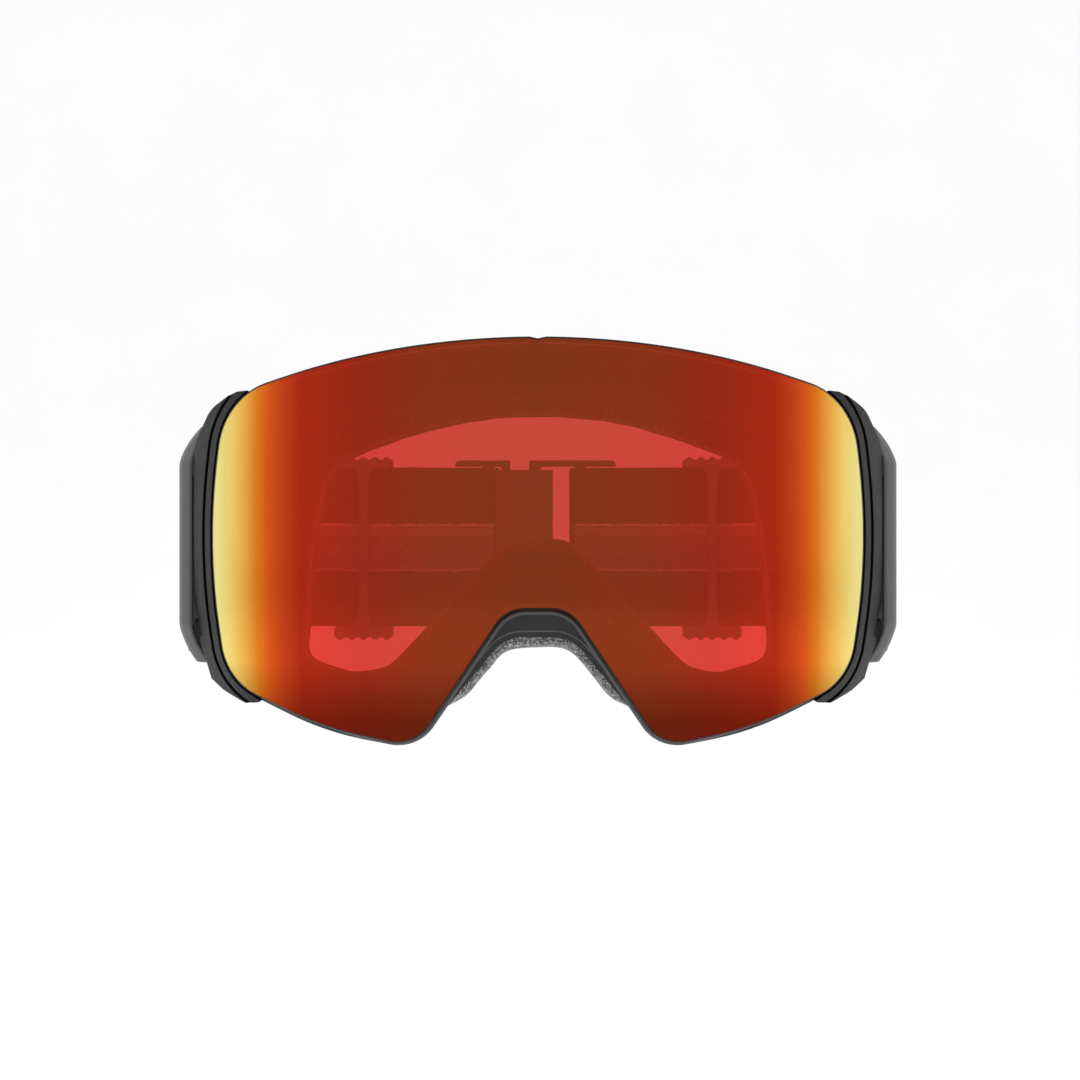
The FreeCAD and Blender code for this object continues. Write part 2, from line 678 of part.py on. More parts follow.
# ---------------------------------------------------------------- clip
def add_clip():
    """Rear clip: a hooked tongue on one strap and a catch bar on the other."""
    plane = size("strap_back") + size("clip_loop_radius")
    near, far = plane - size("clip_thick") / 2, plane + size("clip_thick") / 2
    top, low = size("clip_top"), size("clip_bottom")
    in_top, in_low = top - size("clip_arm"), low + size("clip_arm")
    hook_arms = [(-25.2, top), (-8.4, top), (-8.4, low), (-25.2, low),
                 (-25.2, in_low), (-11, in_low), (-11, in_top), (-25.2, in_top)]
    loop_arms = [(-2.7, top), (23.7, top), (23.7, in_top), (0.8, in_top),
                 (0.8, in_low), (23.7, in_low), (23.7, low), (-2.7, low)]
    tongue = [(-11, near), (-8.4, near), (-6.4, near - 3.1), (4.5, near - 3.1), (4.5, plane),
              (1.9, plane), (1.9, near - 1), (-5.2, near - 1), (-7.4, far), (-11, far)]
    plane_text = "<<dims>>.strap_back + <<dims>>.clip_loop_radius"
    for name, arms, bar in (("clip_hook", hook_arms, "hook_bar_place"),
                            ("clip_loop", loop_arms, "loop_bar_place")):
        body = new_body(name)
        frame = new_sketch(body, "XZ_Plane", f"{name}_arms")
        draw_loop(frame, arms)
        add_pad(body, frame, f"{name}_plate", f"-({plane_text} + <<dims>>.clip_thick / 2)",
                f"-({plane_text} - <<dims>>.clip_thick / 2)")
        if name == "clip_hook":
            blade = new_sketch(body, "XY_Plane", "clip_hook_tongue_plan")
            draw_loop(blade, tongue)
            add_pad(body, blade, "clip_hook_tongue", "<<dims>>.tongue_bottom",
                    "<<dims>>.tongue_top")
        rod = new_sketch(body, "XY_Plane", f"{name}_bar_plan")
        draw_circle(rod, (size(bar), plane), "clip_bar_radius")
        add_pad(body, rod, f"{name}_bar", "<<dims>>.clip_bottom", "<<dims>>.clip_top")


# ---------------------------------------------------------------- build and write
def check_and_write():
    doc.recompute()
    for item in doc.Objects:
        if "Invalid" in item.State or "Error" in item.State:
            raise RuntimeError(f"{item.Name} did not build: {item.State}")
    for item in subparts:
        if item.Shape.isNull() or not item.Shape.isValid() or not item.Shape.Solids:
            raise RuntimeError(f"{item.Label} has no valid shape")
    for item in subparts:
        item.Shape.exportStep(f"parts/{item.Label}.step")
        box = item.Shape.optimalBoundingBox()
        print(f"{item.Label:22s} solids {len(item.Shape.Solids)}  volume {item.Shape.Volume:9.1f}"
              f"  X {box.XMin:7.2f} {box.XMax:7.2f}  Y {box.YMin:7.2f} {box.YMax:7.2f}"
              f"  Z {box.ZMin:7.2f} {box.ZMax:7.2f}")


add_lens_unit()
add_frame()
add_foam()
add_vent_foam()
add_brackets()
add_pins()
add_outriggers()
add_straps()
add_sliders()
add_clip()
check_and_write()
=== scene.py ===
"""Looks of the snow goggles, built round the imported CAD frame. Metres, Blender 4.5."""

import math

import bmesh
import bpy
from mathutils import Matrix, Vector, noise
from mathutils.bvhtree import BVHTree


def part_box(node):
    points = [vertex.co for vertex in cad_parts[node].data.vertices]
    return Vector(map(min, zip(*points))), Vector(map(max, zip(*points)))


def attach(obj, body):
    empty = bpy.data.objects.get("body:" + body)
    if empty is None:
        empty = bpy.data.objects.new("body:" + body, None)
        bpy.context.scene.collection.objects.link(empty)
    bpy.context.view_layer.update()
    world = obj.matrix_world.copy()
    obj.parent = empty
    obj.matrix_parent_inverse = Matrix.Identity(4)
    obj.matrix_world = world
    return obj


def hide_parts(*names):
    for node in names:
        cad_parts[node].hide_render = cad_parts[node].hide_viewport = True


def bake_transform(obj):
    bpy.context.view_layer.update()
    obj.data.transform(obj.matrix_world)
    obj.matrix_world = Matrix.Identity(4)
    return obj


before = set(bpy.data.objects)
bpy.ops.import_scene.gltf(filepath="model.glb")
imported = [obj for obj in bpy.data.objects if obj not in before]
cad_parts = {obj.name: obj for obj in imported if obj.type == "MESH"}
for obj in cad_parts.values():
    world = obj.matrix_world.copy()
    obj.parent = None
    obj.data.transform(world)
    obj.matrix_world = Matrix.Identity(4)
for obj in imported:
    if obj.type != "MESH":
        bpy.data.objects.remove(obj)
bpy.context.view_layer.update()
MM = 0.001
SIDES = {"left": 1, "right": -1}


def low_of(node):
    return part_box(node)[0]


def high_of(node):
    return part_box(node)[1]


# ---------------------------------------------------------------- curved surfaces (mm)
LENS_FRONT = low_of("outer_lens").y / MM
LENS_RADIUS = 95.0
FACE_RADIUS = 85.0
NOSE_LIFT = 12.0
NOSE_HALF = 16.0

# Right half of each front-view outline: corners as (x, z, radius), top to nose.
LENS_EDGE = [(0, 55.9, 240), (78.7, 35.6, 18), (83.45, 1, 150), (78.7, -35.5, 15),
             (52, -46, 90), (29.6, -50, 10), (7.3, -16.4, 8)]
FLANGE_EDGE = [(0, 54.6, 240), (77.4, 34.6, 17), (82.3, 1, 150), (77.9, -34.9, 14.5),
               (52, -46.3, 90), (29.2, -51, 11), (6.7, -17.8, 8)]
WINDOW_EDGE = [(0, 44.8, 202), (73.5, 26.5, 10), (75.6, 0, 180), (72.8, -29.5, 12),
               (52, -36.4, 60), (33.5, -38.2, 9), (8.5, -11, 8)]
FRAME_EDGE = [(0, 53.5, 235), (75, 35, 18), (80, 1, 150), (76.5, -37, 15),
              (52, -47, 80), (30.5, -50.5, 10), (7.8, -23, 9)]
FRAME_OPENING = [(0, 42.6, 150), (63, 24, 16), (68.5, -2, 140), (68, -32, 9),
                 (50, -37.5, 30), (36, -36.5, 9), (8.2, -3, 8)]
FOAM_EDGE = [(0, 52, 230), (70.5, 34, 18), (76.5, 0, 150), (74, -37, 14),
             (52, -46.5, 60), (31.5, -49.5, 9), (8.5, -26, 9)]
FACE_OPENING = [(0, 39.1, 118), (54.5, 20.3, 14), (59.4, -2, 180), (61.3, -31.8, 5),
                (47, -35.6, 16), (37.5, -33.6, 8), (7.4, -1.1, 7)]
ARC_POINTS = (61, 13, 17, 13, 11, 15, 13)
LINE_POINTS = (6, 6, 8, 5, 4, 10, 4)


def corner_arc(before, corner, after, radius, count):
    """Points along the arc that rounds a corner of a flat polygon."""
    to_before = (before - corner).normalized()
    to_after = (after - corner).normalized()
    half_angle = to_before.angle(to_after) / 2
    inwards = (to_before + to_after).normalized()
    centre = corner + inwards * (radius / math.sin(half_angle))
    reach = radius / math.tan(half_angle)
    start = corner + to_before * reach - centre
    turn = math.pi - 2 * half_angle
    direction = 1 if start.cross(corner + to_after * reach - centre) > 0 else -1
    points = []
    for step in range(count):
        angle = direction * turn * step / (count - 1)
        points.append(centre + Vector((start.x * math.cos(angle) - start.y * math.sin(angle),
                                       start.x * math.sin(angle) + start.y * math.cos(angle))))
    return points


def outline(corners):
    """Evenly indexed loop of (x, z) points round a mirrored, rounded outline."""
    loop = corners + [(-x, z, radius) for x, z, radius in reversed(corners[1:])]
    spans = list(LINE_POINTS) + list(reversed(LINE_POINTS[:-1]))
    flat = [Vector((x, z)) for x, z, radius in loop]
    counts = list(ARC_POINTS) + list(reversed(ARC_POINTS[1:]))
    arcs = [corner_arc(flat[i - 1], flat[i], flat[(i + 1) % len(flat)], loop[i][2], counts[i])
            for i in range(len(flat))]
    points = []
    for i, arc in enumerate(arcs):
        points += arc
        after = arcs[(i + 1) % len(arcs)][0]
        for step in range(1, spans[i]):
            points.append(arc[-1].lerp(after, step / spans[i]))
    return points


def inset(points, amount):
    """The loop moved inwards by an amount along its own normals."""
    moved = []
    count = len(points)
    for i, point in enumerate(points):
        along = (points[(i + 1) % count] - points[i - 1]).normalized()
        moved.append(point + Vector((along.y, -along.x)) * amount)
    return moved


def blended(first, second, share):
    return [a.lerp(b, share) for a, b in zip(first, second)]


def wrapped(radius, across):
    limit = 0.9 * radius
    if abs(across) <= limit:
        return radius - math.sqrt(radius ** 2 - across ** 2)
    rise = math.sqrt(radius ** 2 - limit ** 2)
    return radius - rise + (abs(across) - limit) * limit / rise


def lens_depth(x, z):
    if z >= -15:
        curl = (z - 5) ** 2 / 600
    else:
        below = -15 - z
        curl = 0.667 + 0.0667 * below + below ** 2 / 150
    return LENS_FRONT + curl + wrapped(LENS_RADIUS - curl, x)


def face_depth(x, z):
    blend = min(max((8 - z) / 25, 0), 1)
    blend = blend ** 2 * (3 - 2 * blend)
    return wrapped(FACE_RADIUS, x) - NOSE_LIFT * math.exp(-(x / NOSE_HALF) ** 2) * blend


def raised(points, depth, offset):
    """Flat loop laid on a curved surface, some way behind it, as 3-D points in metres."""
    return [Vector((p.x, depth(p.x, p.y) + offset, p.y)) * MM for p in points]


# ---------------------------------------------------------------- mesh helpers
def new_object(name, mesh):
    thing = bpy.data.objects.new(name, mesh)
    bpy.context.scene.collection.objects.link(thing)
    return thing


def mesh_from(name, points, faces, smooth=True):
    mesh = bpy.data.meshes.new(name)
    mesh.from_pydata([tuple(p) for p in points], [], faces)
    mesh.validate()
    mesh.polygons.foreach_set("use_smooth", [smooth] * len(mesh.polygons))
    tidy = bmesh.new()
    tidy.from_mesh(mesh)
    bmesh.ops.recalc_face_normals(tidy, faces=tidy.faces)
    tidy.to_mesh(mesh)
    tidy.free()
    return new_object(name, mesh)


def ring_mesh(name, loops):
    """Closed ring through loops of equal length, the last joined to the first."""
    count = len(loops[0])
    points = [p for loop in loops for p in loop]
    faces = []
    for j in range(len(loops)):
        k = (j + 1) % len(loops)
        for i in range(count):
            n = (i + 1) % count
            faces.append((j * count + i, j * count + n, k * count + n, k * count + i))
    return mesh_from(name, points, faces)


def modified(thing, kind, name, **settings):
    modifier = thing.modifiers.new(name, kind)
    for key, value in settings.items():
        setattr(modifier, key, value)
    return modifier


def applied(thing):
    """The object with its modifiers made part of its mesh."""
    bpy.context.view_layer.update()
    shown = thing.evaluated_get(bpy.context.evaluated_depsgraph_get())
    mesh = bpy.data.meshes.new_from_object(shown)
    thing.modifiers.clear()
    thing.data = mesh
    mesh.polygons.foreach_set("use_smooth", [True] * len(mesh.polygons))
    return thing


def prism(flat, plane, low, high):
    """Closed solid from a flat outline (mm): plane "xz" runs along y, plane "xy" along z."""
    count = len(flat)
    if plane == "xz":
        points = [Vector((a, level, b)) * MM for level in (low, high) for a, b in flat]
    else:
        points = [Vector((a, b, level)) * MM for level in (low, high) for a, b in flat]
    faces = [tuple(range(count)), tuple(range(2 * count - 1, count - 1, -1))]
    for i in range(count):
        n = (i + 1) % count
        faces.append((i, n, count + n, count + i))
    return points, faces


ROD_SIDES = 24


def block(x_range, y_range, z_range):
    (a, b), (c, d) = x_range, z_range
    return prism([(a, c), (b, c), (b, d), (a, d)], "xz", *y_range)


def rod(x, y, radius, low, high):
    turn = [2 * math.pi * i / ROD_SIDES for i in range(ROD_SIDES)]
    flat = [(x + radius * math.cos(a), y + radius * math.sin(a)) for a in turn]
    return prism(flat, "xy", low, high)


def joined(name, solids, side=1):
    """One mesh of several closed solids, mirrored to a side."""
    points, faces = [], []
    for solid_points, solid_faces in solids:
        start = len(points)
        points += [Vector((side * p.x, p.y, p.z)) for p in solid_points]
        faces += [tuple(start + i for i in face) for face in solid_faces]
    return mesh_from(name, points, faces)


def moulded(name, solids, side=1, voxel=0.36, smoothing=5, keep=0.45):
    """Solids melted into one moulded piece with small fillets where they meet."""
    thing = joined(name, solids, side)
    modified(thing, "REMESH", "melt", mode="VOXEL", voxel_size=voxel * MM, use_smooth_shade=True)
    modified(thing, "SMOOTH", "fillet", factor=0.5, iterations=smoothing)
    modified(thing, "DECIMATE", "thin", ratio=keep)
    return applied(thing)


# ---------------------------------------------------------------- materials
class Tree:
    """A short way to write a material's nodes."""

    def __init__(self, name):
        self.material = bpy.data.materials.new(name)
        self.material.use_nodes = True
        self.nodes = self.material.node_tree.nodes
        self.links = self.material.node_tree.links
        self.nodes.clear()
        self.out = self.nodes.new("ShaderNodeOutputMaterial")

    def add(self, kind, inputs=None, **settings):
        node = self.nodes.new("ShaderNode" + kind)
        for key, value in settings.items():
            setattr(node, key, value)
        for key, value in (inputs or {}).items():
            if isinstance(value, bpy.types.NodeSocket):
                self.links.new(value, node.inputs[key])
            else:
                node.inputs[key].default_value = value
        return node

    def math(self, operation, first, second=0.0):
        return self.add("Math", {0: first, 1: second}, operation=operation).outputs[0]

    def ramp(self, factor, stops):
        node = self.add("ValToRGB", {"Fac": factor})
        ramp = node.color_ramp
        while len(ramp.elements) < len(stops):
            ramp.elements.new(0.5)
        for element, (place, colour) in zip(ramp.elements, stops):
            element.position = place
            element.color = (*colour, 1)
        return node.outputs["Color"]

    def mix(self, factor, first, second):
        node = self.add("Mix", data_type="RGBA")
        for key, value in ((0, factor), (6, first), (7, second)):
            if isinstance(value, bpy.types.NodeSocket):
                self.links.new(value, node.inputs[key])
            else:
                node.inputs[key].default_value = value if key == 0 else (*value, 1)
        return node.outputs[2]

    def place(self):
        return self.add("TexCoord").outputs["Object"]

    def noise(self, scale, detail=3.0, roughness=0.5):
        inputs = {"Scale": scale, "Detail": detail, "Roughness": roughness, "Vector": self.place()}
        return self.add("TexNoise", inputs).outputs[0]

    def finish(self, shader):
        self.links.new(shader.outputs[0], self.out.inputs["Surface"])
        return self.material


def plastic(name, colour, roughness, grain=0.15, level=0.35):
    """Moulded plastic: fine grain, faint tone changes and softened edges."""
    tree = Tree(name)
    tone = tree.noise(60, 2)
    fine = tree.noise(2600, 2)
    scuff = tree.noise(420, 5, 0.7)
    base = tree.mix(tone, tuple(part * 0.75 for part in colour), colour)
    base = tree.mix(tree.math("MULTIPLY", tree.math("GREATER_THAN", scuff, 0.68), 0.25), base,
                    tuple(part * 2.0 for part in colour))
    rough = tree.math("ADD", tree.math("MULTIPLY", tone, 0.14), roughness - 0.07)
    soft = tree.add("Bevel", {"Radius": 0.4 * MM}, samples=4)
    bump = tree.add("Bump", {"Strength": grain, "Distance": 0.00008, "Height": fine,
                             "Normal": soft.outputs[0]})
    shader = tree.add("BsdfPrincipled", {"Base Color": base, "Roughness": rough,
                                         "Normal": bump.outputs[0], "Specular IOR Level": level})
    return tree.finish(shader)


def steel(name):
    tree = Tree(name)
    scratches = tree.noise(900, 4)
    base = tree.ramp(scratches, [(0.3, (0.35, 0.35, 0.36)), (0.7, (0.6, 0.6, 0.62))])
    rough = tree.math("ADD", tree.math("MULTIPLY", scratches, 0.2), 0.25)
    return tree.finish(tree.add("BsdfPrincipled", {"Base Color": base, "Roughness": rough,
                                                   "Metallic": 1.0}))


def foam(name, dark, light, scale):
    """Open-cell foam: bright specks between dark pores; the dark in the pores is painted shade."""
    tree = Tree(name)
    cells = tree.add("TexVoronoi", {"Vector": tree.place(), "Scale": scale}).outputs["Distance"]
    clumps = tree.noise(scale * 0.35, 4, 0.7)
    # Painted shade: the colour is darkest in the pores and lightest on the cell walls, with random
    # clumps of tone.
    pore_shade_and_tone = tree.math("MULTIPLY", cells, clumps)
    base = tree.ramp(pore_shade_and_tone, [(0.12, dark), (0.30, tuple((a + b) / 2 for a, b in zip(dark, light))),
                             (0.42, light)])
    height = tree.math("ADD", cells, clumps)
    bump = tree.add("Bump", {"Strength": 0.9, "Distance": 0.0005, "Height": height})
    shader = tree.add("BsdfPrincipled", {"Base Color": base, "Roughness": 0.95,
                                         "Normal": bump.outputs[0], "Sheen Weight": 0.15})
    return tree.finish(shader)


# Mirror coating from the middle of the lens (0) to its side edge (1): copper brown, brick red,
# orange, amber and pale yellow. The copper brown in the middle is the coating's own colour; the
# brightening through orange to pale yellow towards the sides is painted reflection, set by position.
COATING_AND_PAINTED_REFLECTION = [(0.0, (0.21, 0.036, 0.009)), (0.3, (0.235, 0.033, 0.009)), (0.5, (0.28, 0.023, 0.008)),
           (0.7, (0.38, 0.023, 0.007)), (0.76, (0.52, 0.05, 0.01)), (0.8, (0.63, 0.09, 0.01)),
           (0.84, (0.71, 0.19, 0.014)), (0.89, (0.80, 0.43, 0.075)), (0.94, (0.86, 0.66, 0.18)),
           (0.98, (0.87, 0.77, 0.28))]
LENS_HALF = 82.1 * MM
LENS_CLEAR = (0.40, 0.035, 0.038)


def lens_coating():
    """See-through mirror: tinted glass plus a reflection whose tint and strength are painted by distance
    from the middle, turning bright yellow where the lens wraps, and painted darker towards its bottom
    edge.
    """
    tree = Tree("mirror_coating")
    parts = tree.add("SeparateXYZ", {0: tree.place()})
    across = tree.math("DIVIDE", tree.math("ABSOLUTE", parts.outputs[0]), LENS_HALF)
    drift = tree.math("MULTIPLY", tree.math("SUBTRACT", tree.noise(18, 2), 0.5), 0.02)
    across = tree.math("ADD", across, drift)
    # Painted reflection: the reflection's tint and strength follow distance from the middle of the lens.
    colour = tree.ramp(across, COATING_AND_PAINTED_REFLECTION)
    # Painted shade: the reflection is multiplied darker towards the bottom edge of the lens, to about
    # half at the lowest point.
    height = tree.math("MULTIPLY", tree.math("ADD", parts.outputs[2], 0.05), 20.0)
    depth = tree.ramp(height, [(0.12, (0.48, 0.48, 0.48)), (0.22, (0.64, 0.64, 0.64)),
                               (0.30, (0.80, 0.80, 0.80)), (0.40, (1, 1, 1))])
    painted_shade_mix = tree.add("Mix", data_type="RGBA", blend_type="MULTIPLY")
    painted_shade_mix.inputs[0].default_value = 1.0
    tree.links.new(colour, painted_shade_mix.inputs[6])
    tree.links.new(depth, painted_shade_mix.inputs[7])
    colour = painted_shade_mix.outputs[2]
    # Less of what is behind shows towards the sides, where the painted reflection takes over.
    clear = tree.ramp(across, [(0.0, LENS_CLEAR), (0.7, LENS_CLEAR), (0.93, (0.02, 0.01, 0.004))])
    film = tree.add("BsdfGlossy", {"Color": colour, "Roughness": 0.1})
    through = tree.add("BsdfTransparent", {"Color": clear})
    both = tree.add("AddShader", {0: film.outputs[0], 1: through.outputs[0]})
    return tree.finish(both)


def clear_plastic(name, tint, gloss):
    """Uncoated clear plastic: what is behind it, and a faint shine at its edges."""
    tree = Tree(name)
    edge = tree.add("LayerWeight", {"Blend": 0.15}).outputs["Facing"]
    smear = tree.math("ADD", tree.math("MULTIPLY", tree.noise(35, 3), 0.04), 0.03)
    shine = tree.add("BsdfGlossy", {"Color": (1, 1, 1, 1), "Roughness": smear})
    through = tree.add("BsdfTransparent", {"Color": (*tint, 1)})
    weak = tree.math("MULTIPLY", edge, gloss)
    both = tree.add("MixShader", {0: weak, 1: through.outputs[0], 2: shine.outputs[0]})
    return tree.finish(both)


def webbing(name, dark, light):
    """Woven elastic: upright ribs crossed by yarns, with a little fuzz; the colour is painted darker
    down in the grooves as shade.
    """
    tree = Tree(name)
    parts = tree.add("SeparateXYZ", {0: tree.place()})
    across = tree.math("ABSOLUTE", parts.outputs[0])
    along = tree.math("SUBTRACT", parts.outputs[1], across)
    wobble = tree.math("MULTIPLY", tree.noise(300, 2), 0.0005)
    ribs = tree.math("SINE", tree.math("MULTIPLY", tree.math("ADD", along, wobble), 4200))
    yarns = tree.math("SINE", tree.math("MULTIPLY", tree.math("ADD", parts.outputs[2], wobble), 6300))
    weave = tree.math("MULTIPLY", tree.math("ADD", tree.math("MULTIPLY", ribs, yarns), 1.0), 0.5)
    fuzz = tree.noise(3800, 3, 0.7)
    height = tree.math("ADD", weave, tree.math("MULTIPLY", fuzz, 0.5))
    # Painted shade: the colour follows the weave's height, darker down in the grooves between ribs and
    # yarns.
    base = tree.ramp(tree.math("MULTIPLY", height, 0.7), [(0.1, dark), (0.9, light)])
    bump = tree.add("Bump", {"Strength": 0.7, "Distance": 0.0003, "Height": height})
    shader = tree.add("BsdfPrincipled", {"Base Color": base, "Roughness": 0.85,
                                         "Normal": bump.outputs[0], "Sheen Weight": 0.12,
                                         "Specular IOR Level": 0.25})
    return tree.finish(shader)


# How bright the grip is made in bands along its height, which sit on its raised ridges, from the lower
# edge of the grip to the upper one.
GRIP_LINES = [(0.03, (0.5, 0.5, 0.5)), (0.13, (0.45, 0.45, 0.45)), (0.17, (0.05, 0.05, 0.05)),
              (0.5, (0.10, 0.10, 0.10)), (0.72, (0.05, 0.05, 0.05)), (0.80, (0.28, 0.28, 0.28)),
              (0.88, (0.26, 0.26, 0.26)), (0.91, (0.05, 0.05, 0.05)), (0.96, (1, 1, 1)),
              (1.0, (1, 1, 1))]


def silicone(name):
    """Printed grip: matt silicone, mottled, with brighter ridges."""
    tree = Tree(name)
    mottle = tree.noise(900, 4, 0.75)
    streak = tree.noise(160, 2)
    tone = tree.math("ADD", tree.math("MULTIPLY", mottle, 0.7), tree.math("MULTIPLY", streak, 0.3))
    flat = tree.ramp(tone, [(0.38, (0.02, 0.019, 0.02)), (0.55, (0.09, 0.088, 0.088)),
                            (0.68, (0.26, 0.255, 0.255))])
    height = tree.add("SeparateXYZ", {0: tree.place()}).outputs[2]
    height = tree.math("ADD", height, tree.math("MULTIPLY", tree.noise(1100, 3), 0.0012))
    ridges = tree.ramp(tree.math("MULTIPLY", tree.math("ADD", height, 0.0106), 1 / 0.0166), GRIP_LINES)
    base = tree.mix(tree.math("MULTIPLY", ridges, 0.95), flat, (0.62, 0.61, 0.61))
    bump = tree.add("Bump", {"Strength": 0.5, "Distance": 0.0002, "Height": mottle})
    shader = tree.add("BsdfPrincipled", {"Base Color": base, "Roughness": 0.5,
                                         "Normal": bump.outputs[0]})
    return tree.finish(shader)


def dress(node, material):
    """Gives a CAD node its material."""
    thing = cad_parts[node]
    thing.data.materials.clear()
    thing.data.materials.append(material)


# ---------------------------------------------------------------- lens
NOTCH_HALF, NOTCH_DEEP = 1.7, 0.45
LENS_THICK = 2.0
LENS_MIDDLE = Vector((0, 12))
LENS_LOOPS = 28
COATED, RIM, BACK = 0, 1, 2
# The rounded rim, front to back: how far in from the edge, and how far behind the front.
RIM_PROFILE = [(1.2, 0.0), (0.5, 0.06), (0.12, 0.35), (0.0, 0.9), (0.15, 1.6), (0.6, 1.92)]
BACK_INSET = 1.4


def make_lens():
    """The mirror lens: a smooth shell with a rounded rim and a small notch at the top."""
    edge = outline(LENS_EDGE)
    for point in edge:
        if point.y > 0 and abs(point.x) < NOTCH_HALF:
            point.y -= NOTCH_DEEP * (1 - abs(point.x) / NOTCH_HALF)
    shares = [i / LENS_LOOPS for i in range(1, LENS_LOOPS)]
    points, faces, slots = [], [], []

    def add_loop(flat, offset):
        points.extend(raised(flat, lens_depth, offset))

    def scaled(share):
        return [LENS_MIDDLE + (p - LENS_MIDDLE) * share for p in inset(edge, RIM_PROFILE[0][0])]

    for share in shares:
        add_loop(scaled(share), 0.0)
    for amount, offset in RIM_PROFILE:
        add_loop(inset(edge, amount), offset)
    add_loop(inset(edge, BACK_INSET), LENS_THICK)
    for share in reversed(shares):
        add_loop(scaled(share), LENS_THICK)
    count = len(edge)
    loops = len(points) // count
    for j in range(loops - 1):
        slot = COATED
        if j > len(shares):
            slot = RIM if j < len(shares) + len(RIM_PROFILE) else BACK
        for i in range(count):
            n = (i + 1) % count
            faces.append((j * count + i, j * count + n, (j + 1) * count + n, (j + 1) * count + i))
            slots.append(slot)
    for offset, first, slot in ((0.0, 0, COATED), (LENS_THICK, (loops - 1) * count, BACK)):
        points += raised([LENS_MIDDLE], lens_depth, offset)
        middle = len(points) - 1
        faces += [(middle, first + i, first + (i + 1) % count) for i in range(count)]
        slots += [slot] * count
    lens = mesh_from("mirror_lens", points, faces)
    for material in (lens_coating(), RESIN, clear_plastic("lens_back", (1, 1, 1), 0.03)):
        lens.data.materials.append(material)
    lens.data.polygons.foreach_set("material_index", slots)
    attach(lens, "lens_unit")
    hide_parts("outer_lens")


# ---------------------------------------------------------------- foam
# Where the foam is fuller: the place on the right flank, how far it reaches, and its share.
NOSE_FLANKS = [(Vector((18.0, -38.5)), 6.0, 1.0), (Vector((12.0, -31.5)), 7.0, 0.6)]


def foam_outline(corners, bulge):
    """Outer outline of a foam layer, fuller on the two flanks of the nose."""
    points = outline(corners)
    count = len(points)
    moved = []
    for i, point in enumerate(points):
        along = (points[(i + 1) % count] - points[i - 1]).normalized()
        outwards = Vector((-along.y, along.x))
        spot = Vector((abs(point.x), point.y))
        fuller = sum(share * math.exp(-((spot - place).length / reach) ** 2)
                     for place, reach, share in NOSE_FLANKS)
        moved.append(point + outwards * bulge * fuller)
    return moved


FACE_SHARES = (0.12, 0.3, 0.5, 0.7, 0.88)
PROFILE_STEPS = 9


def foam_ring(name, outer, inner, near, far, crown, pores):
    """Closed foam ring with rounded edges and an open-cell surface."""
    middle = (near + far) / 2
    half = (far - near) / 2
    profile = []
    for k in range(PROFILE_STEPS + 1):
        angle = math.pi * (k / PROFILE_STEPS - 0.5)
        profile.append((crown * (math.cos(angle) - 1), middle + half * math.sin(angle) * 0.99))

    def flat_face(shares, depth):
        """Loops across a flat face, between the outer and the inner edge."""
        start, end = inset(outer, crown), inset(inner, -crown)
        return [raised(blended(start, end, share), face_depth, depth) for share in shares]

    loops = [raised(inset(outer, -move), face_depth, depth) for move, depth in profile]
    loops += flat_face(FACE_SHARES, far)
    loops += [raised(inset(inner, move), face_depth, depth) for move, depth in reversed(profile)]
    loops += flat_face(reversed(FACE_SHARES), near)
    ring = ring_mesh(name, loops)
    for vertex in ring.data.vertices:
        spot = vertex.co / MM
        wave = noise.noise(spot * 0.22) * 0.35 + noise.noise(spot * 1.7) * pores
        vertex.co += vertex.normal * wave * MM
    return ring


CLOTH_STEPS = 20
CLOTH_PRESSURE = 4
SWELL_VOXEL, SWELL_CAP = 1.6, 0.5


def puff(thing):
    """Swells the foam as cloth under slight pressure, by no more than SWELL_CAP."""
    start = bpy.context.scene.frame_current
    modified(thing, "REMESH", "even", mode="VOXEL", voxel_size=SWELL_VOXEL * MM)
    applied(thing)
    rest = [v.co.copy() for v in thing.data.vertices]
    cloth = modified(thing, "CLOTH", "swell")
    cloth.settings.use_pressure = True
    cloth.settings.uniform_pressure_force = CLOTH_PRESSURE
    cloth.settings.effector_weights.gravity = 0
    for step in range(1, CLOTH_STEPS + 1):
        bpy.context.scene.frame_set(step)
    applied(thing)
    for vertex, place in zip(thing.data.vertices, rest):
        move = vertex.co - place
        if move.length > SWELL_CAP * MM:
            move = move.normalized() * SWELL_CAP * MM
        vertex.co = place + move
    modified(thing, "SMOOTH", "settle", factor=0.4, iterations=2)
    modified(thing, "SUBSURF", "fine", levels=1)
    applied(thing)
    bpy.context.scene.frame_set(start)


def make_foams():
    """The three bonded layers of face foam, of which the two thick ones swell."""
    opening = outline(FACE_OPENING)
    # node, material, fullness at the nose, edge rounding, pore size, inner edge, whether it swells
    layers = [("foam_base", FOAM, 2.6, 0.5, 0.22, 1.3, True),
              ("foam_mid", FOAM_MID, 2.2, 0.6, 0.18, 1.3, True),
              ("face_fleece", FLEECE, 1.8, 0.35, 0.10, 0.7, False)]
    for node, material, bulge, crown, pores, within, swells in layers:
        near = low_of(node).y / MM + NOSE_LIFT
        far = high_of(node).y / MM - face_depth(high_of(node).x / MM, 0)
        outer = foam_outline(FOAM_EDGE, bulge)
        ring = foam_ring(node + "_soft", outer, inset(opening, within), near, far, crown, pores)
        if swells:
            puff(ring)
        ring.data.materials.append(material)
        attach(ring, "goggle_frame")
        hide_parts(node)


